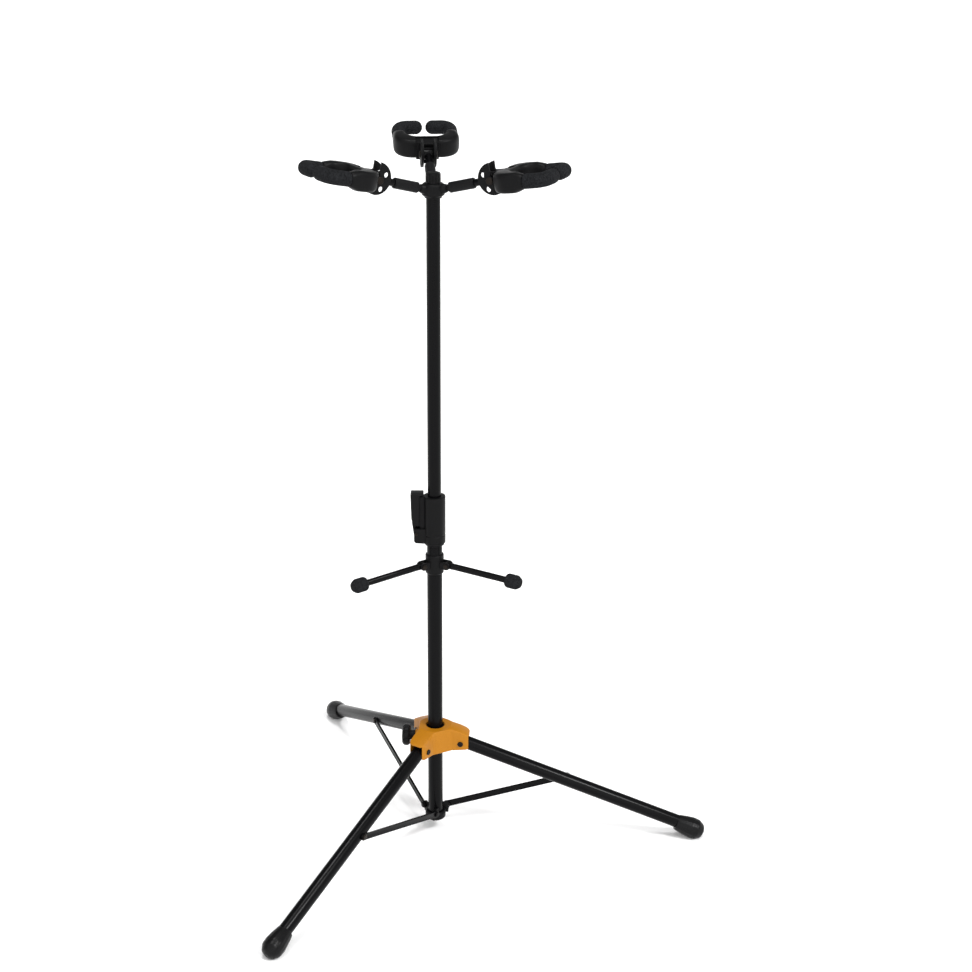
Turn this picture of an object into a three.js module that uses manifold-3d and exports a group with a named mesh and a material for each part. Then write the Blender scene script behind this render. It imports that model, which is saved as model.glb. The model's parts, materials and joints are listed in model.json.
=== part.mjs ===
// Three-way hanging guitar rack: a telescoping column on a folding tripod, with
// three self-closing neck yokes at the top and three folding backrests half way up.
// Millimetres, +Z up. The origin is the centre of the brace hub's flat underside,
// on the column's axis, and the feet stand on the plane z = FLOOR_Z.

import * as THREE from 'three';
import { mergeVertices } from 'three/addons/utils/BufferGeometryUtils.js';
import Module from 'manifold-3d';

const wasm = await Module();
wasm.setup();

// ---------------------------------------------------------------- driving dimensions

const GAP = 0.3; // between pieces that touch or run on each other
const SIDES = 18; // facets of the column's round pieces
const FINE = 12; // of rods, legs and eyes
const SMALL = 8; // of pins and their holes
const FLOOR_Z = -20;
const deg = THREE.MathUtils.degToRad;

// Directions seen from above, counter-clockwise from +X, for each set of three.
const LEG_AZIMUTHS = [-3, 117, 237];
const YOKE_AZIMUTHS = [-26, 95.7, 214];
const YOKE_RISES = [0, 7, 2]; // how much higher each arm is bent than the first
const YOKE_TILTS = [10, 13, 13]; // of each cradle, above horizontal
const KNOB_AZIMUTH = 177;
const LEVER_AZIMUTH = 180;

// Column
const LOWER_TUBE = { radius: 11.1, wall: 1, bottom: 3.3, top: 462 };
const UPPER_TUBE = { radius: 9.75, wall: 1.2, bottom: 290, top: 981 };
const LOWER_BORE = LOWER_TUBE.radius + GAP; // bore of a piece that fits the lower tube
const UPPER_BORE = UPPER_TUBE.radius + GAP; // bore of a piece that fits the upper tube

// Tripod
const LEG_PIVOT = { r: 38.5, z: 134.5 };
const LEG_SLOPE = deg(21.28); // below horizontal, legs open
const LEG = { radius: 10, wall: 1.2, start: -7, end: 384 };
const BRACE_PIVOT = { r: 16, z: 15.7 }; // on the hub
const BRACE_JOINT = { r: 200, z: 71.6 }; // on the leg
const BRACE_SIDE = 11.9; // sideways from the leg's plane to the strip's middle
const BRACE = { height: 9.5, thickness: 3.2, eye: 5.4 };
const HOUSING = { bottom: 122, top: 160.5, barrel: 22, bore: 14.2, lobe: 52, halfWidth: 13.4 };
const LEG_BOLT = 3; // radius
const KNOB = { z: 141, disc: 16, from: 37.5, to: 49.5 };

// Backrests
const COLLAR = { bottom: 411, top: 441, radius: 13.4 };
const BACKREST_PIVOT = { r: 21.5, z: 426 };
const BACKREST = { rod: 4.75, length: 103, pad: 10.5, tip: 118, droop: deg(2.5) };

// Height clutch
const CLUTCH = { bottom: 456, top: 531, radius: 16, wall: 2.2 };
const LEVER_PIVOT = { r: 26, z: 474 };

// Yokes. The quadrant is the half-round hinge block behind each cradle. The yoke's
// own sizes are in the cradle's frame: X along the tines from the quadrant's centre.
const HUB = { bottom: 964.5, flange: 966.5, top: 984, radius: 15.5, cap: 999 };
const ARM_ROOT = { r: 12, z: 977 };
const ARM = { rod: 3.75, sleeve: 7.4, neck: 5, socket: 36, mouth: 52.5 };
const QUADRANT = { r: 94, z: 1001, radius: 22, horn: -4, side: 10.9, cheek: 4 };
const WINDOWS = [[-14, 6], [0.5, 4.5], [-9, -13.5], [4, -14.5]];
const WINDOW_RADIUS = 3.6;
const YOKE_PIVOT = { x: -5, z: -2.3 };
const BLOCK = { back: 2.8, step: 9, front: 24, side: 16, low: -16, top: 9.5 };
const CRADLE = { back: 9, wall: 31, front: 58, half: 46.5, gap: 27.5 };
const FINGER = { side: 37, z: -2.6, radius: 9.8, bend: 13, reach: 87, tip: 12, shaft: 4.1 };

// ---------------------------------------------------------------- materials

function finish(color, roughness, metalness) {
  return new THREE.MeshStandardMaterial({ color, roughness, metalness, flatShading: true });
}

const blackTube = finish(0x101113, 0.35, 0.4);
const blackPlastic = finish(0x17181a, 0.6, 0);
const goldPlastic = finish(0xd89322, 0.45, 0);
const steel = finish(0x4a4a4c, 0.4, 0.9);
const foam = finish(0x2a2b2d, 0.95, 0);
const rubber = finish(0x141414, 0.8, 0);

// ---------------------------------------------------------------- solids

function signedVolume(positions, triangles) {
  const a = new THREE.Vector3();
  const b = new THREE.Vector3();
  const c = new THREE.Vector3();
  let volume = 0;
  for (let i = 0; i < triangles.length; i += 3) {
    a.fromArray(positions, 3 * triangles[i]);
    b.fromArray(positions, 3 * triangles[i + 1]);
    c.fromArray(positions, 3 * triangles[i + 2]);
    volume += a.dot(b.cross(c)) / 6;
  }
  return volume;
}

// A closed geometry with shared corners merged, as a solid with its faces outwards.
function toSolid(geometry) {
  const bare = geometry.clone();
  bare.deleteAttribute('normal');
  bare.deleteAttribute('uv');
  const merged = mergeVertices(bare, 1e-4);
  const positions = merged.attributes.position.array;
  const index = merged.index.array;
  const triangles = [];
  for (let i = 0; i < index.length; i += 3) {
    const [a, b, c] = [index[i], index[i + 1], index[i + 2]];
    if (a !== b && b !== c && c !== a) triangles.push(a, b, c);
  }
  if (signedVolume(positions, triangles) < 0) triangles.reverse();
  const mesh = new wasm.Mesh({
    numProp: 3,
    vertProperties: Float32Array.from(positions),
    triVerts: Uint32Array.from(triangles),
  });
  return new wasm.Manifold(mesh);
}

function toGeometry(solid) {
  const mesh = solid.getMesh();
  const geometry = new THREE.BufferGeometry();
  geometry.setAttribute('position', new THREE.BufferAttribute(mesh.vertProperties, 3));
  geometry.setIndex(new THREE.BufferAttribute(mesh.triVerts, 1));
  geometry.computeVertexNormals();
  return geometry;
}

function join(...geometries) {
  return toGeometry(geometries.map(toSolid).reduce((a, b) => a.add(b)));
}

function cut(base, ...tools) {
  return toGeometry(tools.map(toSolid).reduce((a, b) => a.subtract(b), toSolid(base)));
}

function overlap(a, b) {
  return toGeometry(toSolid(a).intersect(toSolid(b)));
}

function box(x0, x1, y0, y1, z0, z1) {
  const geometry = new THREE.BoxGeometry(x1 - x0, y1 - y0, z1 - z0);
  return geometry.translate((x0 + x1) / 2, (y0 + y1) / 2, (z0 + z1) / 2);
}

// Turned about Z. profile is a list of [radius, z].
function turned(profile, sides = SIDES) {
  const points = profile.map(([r, z]) => new THREE.Vector2(r, z));
  return new THREE.LatheGeometry(points, sides).rotateX(Math.PI / 2);
}

function disc(radius, z0, z1, sides = SIDES) {
  return turned([[0, z0], [radius, z0], [radius, z1], [0, z1]], sides);
}

function pipe(outer, inner, z0, z1, sides = SIDES) {
  return turned([[inner, z0], [outer, z0], [outer, z1], [inner, z1], [inner, z0]], sides);
}

// Turns a piece made about Z so that its axis lies outwards (along X) or sideways (along Y).
const outwards = (geometry) => geometry.rotateY(Math.PI / 2);
const sideways = (geometry) => geometry.rotateX(-Math.PI / 2);

// An outline in the X-Z plane, given thickness from y0 to y1.
function plate(shape, y0, y1, curveSegments = 8) {
  const geometry = new THREE.ExtrudeGeometry(shape, {
    depth: y1 - y0,
    bevelEnabled: false,
    curveSegments,
  });
  return geometry.rotateX(Math.PI / 2).translate(0, y1, 0);
}

function outline(points) {
  return new THREE.Shape(points.map(([x, y]) => new THREE.Vector2(x, y)));
}

// A rectangle whose corners are arcs: near rounds the two at x0, far the two at x1.
function roundedRectangle(x0, x1, y0, y1, near, far = near) {
  const shape = new THREE.Shape();
  shape.absarc(x1 - far, y0 + far, far, -Math.PI / 2, 0);
  shape.absarc(x1 - far, y1 - far, far, 0, Math.PI / 2);
  shape.absarc(x0 + near, y1 - near, near, Math.PI / 2, Math.PI);
  shape.absarc(x0 + near, y0 + near, near, Math.PI, 1.5 * Math.PI);
  shape.closePath();
  return shape;
}

// A plan outline in X-Y, given height from z0 to z1.
function slab(shape, z0, z1, curveSegments = 5) {
  const geometry = new THREE.ExtrudeGeometry(shape, {
    depth: z1 - z0,
    bevelEnabled: false,
    curveSegments,
  });
  return geometry.translate(0, 0, z0);
}

// A pin or hole lying sideways through (x, z).
function crosswise(radius, half, x, z, sides = SMALL) {
  return sideways(disc(radius, -half, half, sides)).translate(x, 0, z);
}

const rack = new THREE.Group();

function place(name, geometry, material, parent = rack) {
  const mesh = new THREE.Mesh(geometry, material);
  mesh.name = name;
  parent.add(mesh);
  return mesh;
}

// A frame whose X axis points outwards at an azimuth.
function armFrame(azimuth) {
  const frame = new THREE.Group();
  frame.rotation.z = deg(azimuth);
  rack.add(frame);
  return frame;
}

function frameAt(parent, r, z, pitch, y = 0) {
  const frame = new THREE.Group();
  frame.position.set(r, y, z);
  frame.rotation.y = pitch;
  parent.add(frame);
  return frame;
}

function turnedTo(geometry, azimuth) {
  return geometry.rotateZ(deg(azimuth));
}

// ---------------------------------------------------------------- column

function lowerTube() {
  const { radius, wall, bottom, top } = LOWER_TUBE;
  return pipe(radius, radius - wall, bottom, top);
}

function upperTube() {
  const { radius, wall, bottom, top } = UPPER_TUBE;
  return pipe(radius, radius - wall, bottom, top);
}

// Plug in the upper tube's foot, flush with its outside, which runs in the lower tube.
function tubeGlide() {
  const spigot = UPPER_TUBE.radius - UPPER_TUBE.wall - GAP;
  const { radius, bottom } = UPPER_TUBE;
  return turned([
    [0, bottom - 5], [radius - 1.5, bottom - 5], [radius, bottom - 3.5], [radius, bottom - GAP],
    [spigot, bottom - GAP], [spigot, bottom + 12], [0, bottom + 12],
  ]);
}

function topHub() {
  const { bottom, flange, top, radius } = HUB;
  const sleeve = turned([
    [UPPER_BORE, bottom], [12.2, bottom], [12.2, flange], [radius, flange + 2],
    [radius, top - 2], [radius - 2, top], [0, top], [0, UPPER_TUBE.top + GAP],
    [UPPER_BORE, UPPER_TUBE.top + GAP], [UPPER_BORE, bottom],
  ]);
  const alongArms = (piece) => YOKE_AZIMUTHS.map((azimuth, i) => {
    const aimed = outwards(piece.clone()).rotateY(-armLine(i).slope);
    return turnedTo(aimed.translate(ARM_ROOT.r, 0, ARM_ROOT.z), azimuth);
  });
  const boss = turned([[0, 0], [6.8, 0], [6.8, 4.5], [5.4, 9.5], [0, 9.5]], FINE);
  const bore = disc(ARM.rod + 0.35, -0.5, 30, FINE);
  return cut(join(sleeve, ...alongArms(boss)), ...alongArms(bore));
}

function topCap() {
  const low = HUB.top + GAP;
  return turned([
    [0, low], [10.4, low], [10.4, HUB.cap - 2.5], [9.6, HUB.cap - 0.7],
    [7.8, HUB.cap], [0, HUB.cap],
  ]);
}

// ---------------------------------------------------------------- height clutch

function clutchBody() {
  const { bottom, top, radius, wall } = CLUTCH;
  const barrel = disc(radius, bottom + 3, top);
  const skirt = disc(radius - 1.8, bottom, bottom + 4);
  const arm = plate(outline([
    [8, 459], [27, 460], [29.5, 463], [29.5, 482], [8, 482],
  ]), -9.5, 9.5);
  const tongue = plate(outline([
    [8, 480], [26.6, 480], [26.6, 486], [24.3, top], [8, top],
  ]), -6.3, 6.3);
  const arms = [arm, tongue].map((solid) => turnedTo(solid, LEVER_AZIMUTH));
  const shell = join(barrel, skirt, ...arms);
  const inside = turned([
    [0, bottom - 1], [LOWER_BORE, bottom - 1], [LOWER_BORE, LOWER_TUBE.top + GAP],
    [UPPER_BORE, LOWER_TUBE.top + GAP], [UPPER_BORE, 467], [radius - wall, 467],
    [radius - wall, 519], [UPPER_BORE, 522], [UPPER_BORE, top + 1], [0, top + 1],
  ]);
  const pocket = box(20.5, 31, -6.6, 6.6, 465, 486);
  const window = box(10, 31, -3.6, 3.6, 494, 506);
  const pinHole = crosswise(2.3, 11, LEVER_PIVOT.r, LEVER_PIVOT.z);
  const pieces = [pocket, window, pinHole].map((tool) => turnedTo(tool, LEVER_AZIMUTH));
  return cut(shell, inside, ...pieces);
}

// Squeezed towards the column, it tips the locking plate off the upper tube.
function clutchLever() {
  const { r, z } = LEVER_PIVOT;
  const knuckle = crosswise(4, 6, r, z, 12);
  const stem = plate(outline([
    [r - 1, z - 2], [r + 4, z], [r + 6.4, 492], [r + 3.6, 492],
  ]), -6, 6);
  const channel = plate(outline([
    [r + 4.2, 486.5], [r + 7.2, 498], [r + 8.2, 533], [r + 8.2, 536], [r - 10.5, 536],
    [r - 10.5, 532.8], [r - 5, 532.8], [r - 4, 486.5],
  ]), -9, 9);
  const inside = box(r - 12, r + 3.6, -6.9, 6.9, 480, 532.8);
  const nose = box(18, r + 5, -3, 3, 497.5, 501.5);
  const hole = crosswise(2.3, 11, r, z);
  return turnedTo(cut(join(cut(channel, inside), stem, knuckle, nose), hole), LEVER_AZIMUTH);
}

function clutchLeverPin() {
  const { r, z } = LEVER_PIVOT;
  return turnedTo(crosswise(2, 10.2, r, z), LEVER_AZIMUTH);
}

function clutchPlate() {
  return pipe(CLUTCH.radius - CLUTCH.wall - GAP, UPPER_BORE, 498, 501);
}

// Compression spring that keeps the locking plate tilted against the upper tube.
function clutchSpring() {
  const [turns, low, high, radius, wire] = [4, 469, 496, 12, 0.8];
  class Helix extends THREE.Curve {
    getPoint(t, target = new THREE.Vector3()) {
      const angle = 2 * Math.PI * turns * t;
      return target.set(radius * Math.cos(angle), radius * Math.sin(angle), low + (high - low) * t);
    }
  }
  const section = new THREE.Shape();
  section.absarc(0, 0, wire, 0, 2 * Math.PI);
  return new THREE.ExtrudeGeometry(section, {
    steps: 12 * turns,
    curveSegments: 3,
    extrudePath: new Helix(),
  });
}

// ---------------------------------------------------------------- backrests

function backrestCollar() {
  const { bottom, top, radius } = COLLAR;
  const { r, z } = BACKREST_PIVOT;
  let collar = turned([
    [LOWER_BORE, bottom], [radius - 1, bottom], [radius, bottom + 1.5], [radius, top - 1.5],
    [radius - 1, top], [LOWER_BORE, top], [LOWER_BORE, bottom],
  ]);
  for (const azimuth of YOKE_AZIMUTHS) {
    for (const side of [-1, 1]) {
      const [near, far] = side < 0 ? [-6.8, -3.9] : [3.9, 6.8];
      const web = box(11.9, r, near, far, z - 5.5, z + 5.5);
      const eye = sideways(disc(5.5, near, far, FINE)).translate(r, 0, z);
      const hole = crosswise(2.3, 9, r, z);
      collar = join(collar, turnedTo(cut(join(web, eye), hole), azimuth));
    }
  }
  return collar;
}

function backrestPin() {
  const heads = join(disc(3.6, -8.4, -7.1, SMALL), disc(3.6, 7.1, 8.4, SMALL));
  return sideways(join(disc(2, -8.2, 8.2, SMALL), heads));
}

// Made along X from its hinge.
function backrestRod() {
  const { rod, length } = BACKREST;
  const knuckle = sideways(disc(5, -3.5, 3.5, FINE));
  const neck = box(0, 8, -3.5, 3.5, -4, 4);
  const bar = outwards(disc(rod, 6.4, length, FINE));
  return cut(join(knuckle, neck, bar), crosswise(2.3, 5, 0, 0));
}

function backrestPad() {
  const { rod, length, pad, tip } = BACKREST;
  return outwards(turned([
    [rod + GAP, 94], [pad - 2, 94], [pad, 97], [pad, 111], [pad - 4, tip - 1], [0, tip],
    [0, length + GAP], [rod + GAP, length + GAP], [rod + GAP, 94],
  ], FINE));
}

// ---------------------------------------------------------------- tripod

// Cast foot of the column, with a peened stud for each brace.
function braceHub() {
  const { r, z } = BRACE_PIVOT;
  const outer = BRACE_SIDE - BRACE.thickness / 2 - GAP; // outer face of each ear
  const inner = outer - 3.2;
  const head = BRACE_SIDE + BRACE.thickness / 2 + GAP;
  let hub = disc(15.5, 2, 10);
  hub = join(hub, turned([[0, 0], [13, 0], [15.5, 2.5], [15.5, 3], [0, 3]]));
  hub = join(hub, turned([[0, 9], [15.5, 9], [15.5, 10], [13.4, 12.5], [0, 12.5]]));
  for (const azimuth of LEG_AZIMUTHS) {
    const web = box(4, r, inner, outer, 4, z + BRACE.eye);
    const foot = box(r - 1, r + 3, inner, outer, 4, 12);
    const eye = sideways(disc(BRACE.eye, inner, outer, FINE)).translate(r, 0, z);
    const stud = sideways(disc(2.5, outer - 1, head + 1.5, SMALL)).translate(r, 0, z);
    const rim = sideways(disc(4.2, head, head + 1.6, SMALL)).translate(r, 0, z);
    hub = join(hub, turnedTo(join(web, foot, eye, stud, rim), azimuth));
  }
  return cut(hub, disc(LOWER_BORE, LOWER_TUBE.bottom - GAP, 40));
}

const braceLength = Math.hypot(BRACE_JOINT.r - BRACE_PIVOT.r, BRACE_JOINT.z - BRACE_PIVOT.z);
const braceSlope = Math.atan2(BRACE_JOINT.z - BRACE_PIVOT.z, BRACE_JOINT.r - BRACE_PIVOT.r);

// A flat strip along X from its hub end, with a round eye at each end.
function brace() {
  const { height, thickness, eye } = BRACE;
  const angle = Math.asin(height / 2 / eye);
  const shape = new THREE.Shape();
  shape.absarc(0, 0, eye, angle, 2 * Math.PI - angle);
  shape.absarc(braceLength, 0, eye, Math.PI + angle, 3 * Math.PI - angle);
  shape.closePath();
  const strip = plate(shape, -thickness / 2, thickness / 2, 5);
  return cut(strip, crosswise(2.9, 3, 0, 0), crosswise(2.9, 3, braceLength, 0));
}

// Fills the outer eye of a brace and stops short of the leg.
function braceRivet() {
  const half = BRACE.thickness / 2;
  const shank = disc(2.5, -half, half + 1, SMALL);
  return sideways(join(shank, disc(4.4, half + GAP, half + 1.8, SMALL)));
}

function legHousing() {
  const { bottom, top, barrel, bore, lobe, halfWidth } = HOUSING;
  const body = turned([
    [0, bottom - 2], [barrel - 4, bottom - 2], [barrel, bottom + 3],
    [barrel, top - 3], [barrel - 3, top], [0, top],
  ]);
  const profile = outline([
    [0, bottom + 1], [20, bottom + 1], [lobe, bottom + 3], [lobe, top - 11.3],
    [lobe - 4, top - 8.5], [30, top - 2], [22, top], [0, top],
  ]);
  const plan = slab(roundedRectangle(-halfWidth, lobe, -halfWidth, halfWidth, 3, 7), 100, 180, 3);
  const lobeSolid = overlap(plate(profile, -halfWidth, halfWidth), plan);
  const slot = box(24, lobe + 5, -10.6, 10.6, bottom - 10, top - 13);
  const boltHole = crosswise(LEG_BOLT + GAP, 20, LEG_PIVOT.r, LEG_PIVOT.z);
  const boss = outwards(disc(9.5, 15, 30, FINE)).translate(0, 0, KNOB.z);
  const threadHole = outwards(disc(4.6, 10, 40, SMALL)).translate(0, 0, KNOB.z);
  const lobes = LEG_AZIMUTHS.map((azimuth) => turnedTo(lobeSolid.clone(), azimuth));
  const slots = LEG_AZIMUTHS.flatMap((azimuth) => {
    return [slot, boltHole].map((tool) => turnedTo(tool.clone(), azimuth));
  });
  return cut(
    join(body, ...lobes, turnedTo(boss, KNOB_AZIMUTH)),
    disc(bore, bottom - 10, top + 10),
    turnedTo(threadHole, KNOB_AZIMUTH),
    ...slots,
  );
}

function housingBush() {
  const { bottom, top, bore } = HOUSING;
  const ring = pipe(bore - GAP, LOWER_BORE, bottom + 1, top - 3);
  const hole = outwards(disc(4.6, 8, 30, SMALL)).translate(0, 0, KNOB.z);
  return cut(ring, turnedTo(hole, KNOB_AZIMUTH));
}

function legBolt() {
  const outside = HOUSING.halfWidth + GAP;
  const shank = disc(LEG_BOLT, -outside - 0.5, outside + 0.5, SMALL);
  const head = disc(4.2, outside, outside + 1.6, SMALL);
  return sideways(join(shank, head, head.clone().rotateX(Math.PI)));
}

function lockingKnob() {
  const { disc: radius, from, to } = KNOB;
  const body = turned([
    [0, 11.7], [4, 11.7], [4, 30.4], [7.2, 30.4], [7.2, from], [radius - 3, from],
    [radius, from + 3], [radius, to - 3], [radius - 3, to], [0, to],
  ]);
  const flutes = [];
  for (let i = 0; i < 8; i += 1) {
    const flute = disc(3.4, from - 1, to + 1, SMALL).translate(radius + 1.6, 0, 0);
    flutes.push(flute.rotateZ((i * Math.PI) / 4 + Math.PI / 8));
  }
  return turnedTo(outwards(cut(body, ...flutes)).translate(0, 0, KNOB.z), KNOB_AZIMUTH);
}

// Made along X from the leg's pivot.
function legTube() {
  const { radius, wall, start, end } = LEG;
  const tube = outwards(pipe(radius, radius - wall, start, end, FINE));
  return cut(tube, crosswise(LEG_BOLT + GAP, 20, 0, 0));
}

// Rubber boot over the leg's end, in the leg set's upright frame. Its bulb sits a
// little below the leg's line and is cut flat where it meets the floor.
function legFoot() {
  const boot = outwards(turned([
    [0, 354], [11.9, 354], [13, 360], [15, 369], [16, 378], [15.4, 387], [10, 396.5], [0, 399],
  ], FINE));
  const bore = outwards(disc(LEG.radius + GAP, 340, LEG.end + GAP, FINE));
  boot.rotateY(LEG_SLOPE).translate(LEG_PIVOT.r, 0, LEG_PIVOT.z - 1.9);
  bore.rotateY(LEG_SLOPE).translate(LEG_PIVOT.r, 0, LEG_PIVOT.z);
  return cut(boot, box(300, 450, -30, 30, FLOOR_Z - 30, FLOOR_Z), bore);
}

// ---------------------------------------------------------------- yokes

// The quadrant's centre and the line of the arm that carries it, for yoke number i.
function armLine(i) {
  const tilt = deg(YOKE_TILTS[i]);
  const centre = { r: QUADRANT.r, z: QUADRANT.z + YOKE_RISES[i] };
  const { x, z } = YOKE_PIVOT;
  const pivot = {
    r: centre.r + x * Math.cos(tilt) - z * Math.sin(tilt),
    z: centre.z + x * Math.sin(tilt) + z * Math.cos(tilt),
  };
  const slope = Math.atan2(pivot.z - ARM_ROOT.z, pivot.r - ARM_ROOT.r);
  const length = Math.hypot(pivot.z - ARM_ROOT.z, pivot.r - ARM_ROOT.r);
  return { tilt, centre, pivot, slope, length };
}

// Made along X, which is the arm's axis, from its root in the hub.
function yokeArm() {
  const { rod, sleeve, neck, socket, mouth } = ARM;
  const root = outwards(disc(rod, 0, 20, FINE));
  const grip = outwards(turned([
    [0, 13], [sleeve - 1, 13], [sleeve, 14], [sleeve, mouth - 1], [sleeve - 1, mouth], [0, mouth],
  ], FINE));
  return cut(join(root, grip), outwards(disc(neck + 0.35, socket, mouth + 5, FINE)));
}

// Turns in the arm's sleeve. Made along X from the yoke's pivot back to the sleeve.
function yokeNeck(length) {
  const rod = outwards(disc(ARM.neck, ARM.socket + 0.4 - length, -3, FINE));
  const knuckle = sideways(disc(7, -6.6, 6.6, FINE));
  return cut(join(rod, knuckle), crosswise(3.3, 8, 0, 0));
}

function yokePin() {
  const shank = disc(3, -11.6, 11.6, SMALL);
  const head = disc(5, QUADRANT.side + GAP, QUADRANT.side + 1.8, SMALL);
  return sideways(join(shank, head, head.clone().rotateX(Math.PI)));
}

// Half-round hinge cheek with see-through windows.
function cheek(y0, y1) {
  const { radius, horn } = QUADRANT;
  const shape = new THREE.Shape();
  shape.absarc(0, 0, radius, Math.acos(horn / radius), 1.5 * Math.PI);
  shape.lineTo(BLOCK.step, -20);
  shape.lineTo(BLOCK.step, BLOCK.top);
  shape.lineTo(horn, BLOCK.top);
  shape.closePath();
  const holes = WINDOWS.map(([x, z]) => crosswise(WINDOW_RADIUS, 20, x, z));
  return cut(plate(shape, y0, y1, 9), ...holes, crosswise(3.3, 20, YOKE_PIVOT.x, YOKE_PIVOT.z));
}

// The hinge block and the guide that the cradle rides up and down on.
function yokeBody() {
  const { back, step, front, side, low, top } = BLOCK;
  const { side: outer, cheek: thickness } = QUADRANT;
  const web = box(back, step, -outer, outer, -20, top);
  const holes = WINDOWS.map(([x, z]) => crosswise(WINDOW_RADIUS, 20, x, z));
  const guide = slab(roundedRectangle(step - 1, front, -side, side, 1, 1), low, top, 2);
  const cheeks = [cheek(outer - thickness, outer), cheek(-outer, thickness - outer)];
  return join(cut(web, ...holes), guide, ...cheeks);
}

// A horseshoe, slotted for the guide, with a bore in each tine for its finger.
function yokeCradle() {
  const { back, wall, front, half, gap } = CRADLE;
  const plan = slab(roundedRectangle(back, front, -half, half, 26, 1), -20, 20, 6);
  const profile = plate(outline([
    [back, -15.5], [46, -16.5], [front, -12.4], [front, 7.2], [46, 10.5], [22, 11.5], [back, 9],
  ]), -half, half);
  const facing = outwards(slab(roundedRectangle(-16, 20, -half, half, 8, 10), 0, 80, 4));
  const throat = slab(roundedRectangle(wall, front + 20, -gap, gap, 16, 1), -30, 30, 5);
  const slot = box(0, BLOCK.front + GAP, -BLOCK.side - GAP, BLOCK.side + GAP, -30, 30);
  const bores = [-1, 1].map((side) => {
    const bore = outwards(disc(FINGER.shaft + 0.4, 32, 70, SMALL));
    return bore.translate(0, side * FINGER.side, FINGER.z);
  });
  return cut(overlap(overlap(plan, profile), facing), throat, slot, ...bores);
}

// A foam-covered hook that closes in front of the neck. side is +1 or -1.
function gateFinger(side) {
  const { side: offset, z, radius, bend, reach, tip, shaft } = FINGER;
  const start = CRADLE.front + GAP;
  const points = [
    [start, offset], [reach - bend, offset], [reach, offset - bend], [reach, tip],
  ].map(([x, y]) => new THREE.Vector3(x, side * y, z));
  const corner = new THREE.Vector3(reach, side * offset, z);
  const path = new THREE.CurvePath();
  path.add(new THREE.LineCurve3(points[0], points[1]));
  path.add(new THREE.QuadraticBezierCurve3(points[1], corner, points[2]));
  path.add(new THREE.LineCurve3(points[2], points[3]));
  const section = new THREE.Shape();
  section.absarc(0, 0, radius, 0, 2 * Math.PI);
  const sleeve = new THREE.ExtrudeGeometry(section, {
    steps: 10,
    curveSegments: 5,
    extrudePath: path,
  });
  const end = new THREE.SphereGeometry(radius * 0.98, 10, 6).translate(reach, side * tip, z);
  const rod = outwards(disc(shaft, 33, start + 4, SMALL)).translate(0, side * offset, z);
  return join(sleeve, end, rod);
}

// ---------------------------------------------------------------- assembly

place('lower_tube', lowerTube(), blackTube);
place('brace_hub', braceHub(), blackPlastic);
place('backrest_collar', backrestCollar(), blackPlastic);
place('clutch_body', clutchBody(), blackPlastic);
place('clutch_lever', clutchLever(), blackPlastic);
place('clutch_lever_pin', clutchLeverPin(), steel);
place('clutch_plate', clutchPlate(), steel);
place('clutch_spring', clutchSpring(), steel);
place('upper_tube', upperTube(), blackTube);
place('tube_glide', tubeGlide(), blackPlastic);
place('top_hub', topHub(), blackPlastic);
place('top_cap', topCap(), blackPlastic);
place('leg_housing', legHousing(), goldPlastic);
place('housing_bush', housingBush(), blackPlastic);
place('locking_knob', lockingKnob(), blackPlastic);

LEG_AZIMUTHS.forEach((azimuth, i) => {
  const number = i + 1;
  const frame = armFrame(azimuth);
  const pivot = frameAt(frame, LEG_PIVOT.r, LEG_PIVOT.z, 0);
  const leg = frameAt(frame, LEG_PIVOT.r, LEG_PIVOT.z, LEG_SLOPE);
  const strip = frameAt(frame, BRACE_PIVOT.r, BRACE_PIVOT.z, -braceSlope, BRACE_SIDE);
  const joint = frameAt(frame, BRACE_JOINT.r, BRACE_JOINT.z, 0, BRACE_SIDE);
  place(`leg_bolt_${number}`, legBolt(), steel, pivot);
  place(`leg_tube_${number}`, legTube(), blackTube, leg);
  place(`leg_foot_${number}`, legFoot(), rubber, frame);
  place(`brace_${number}`, brace(), blackTube, strip);
  place(`brace_rivet_${number}`, braceRivet(), steel, joint);
});

YOKE_AZIMUTHS.forEach((azimuth, i) => {
  const number = i + 1;
  const frame = armFrame(azimuth);
  const { tilt, centre, pivot, slope, length } = armLine(i);
  const hinge = frameAt(frame, BACKREST_PIVOT.r, BACKREST_PIVOT.z, BACKREST.droop);
  place(`backrest_pin_${number}`, backrestPin(), steel, hinge);
  place(`backrest_rod_${number}`, backrestRod(), blackTube, hinge);
  place(`backrest_pad_${number}`, backrestPad(), foam, hinge);
  const root = frameAt(frame, ARM_ROOT.r, ARM_ROOT.z, -slope);
  const hingeEnd = frameAt(frame, pivot.r, pivot.z, -slope);
  place(`yoke_arm_${number}`, yokeArm(), blackTube, root);
  place(`yoke_neck_${number}`, yokeNeck(length), blackTube, hingeEnd);
  place(`yoke_pin_${number}`, yokePin(), steel, hingeEnd);
  const cradle = frameAt(frame, centre.r, centre.z, -tilt);
  place(`yoke_body_${number}`, yokeBody(), blackPlastic, cradle);
  place(`yoke_cradle_${number}`, yokeCradle(), blackPlastic, cradle);
  place(`gate_finger_left_${number}`, gateFinger(1), foam, cradle);
  place(`gate_finger_right_${number}`, gateFinger(-1), foam, cradle);
});

export default rack;
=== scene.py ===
"""Three-way hanging guitar rack: finished shapes, materials, light and camera.

Shapes are drawn in millimetres in the frame of the joint that each piece belongs to: X points outwards
from the column, Y sideways and Z up. piece() puts them in the row frame, in metres.
"""

import json
import math

import bmesh
import bpy
from mathutils import Matrix, Vector

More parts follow.
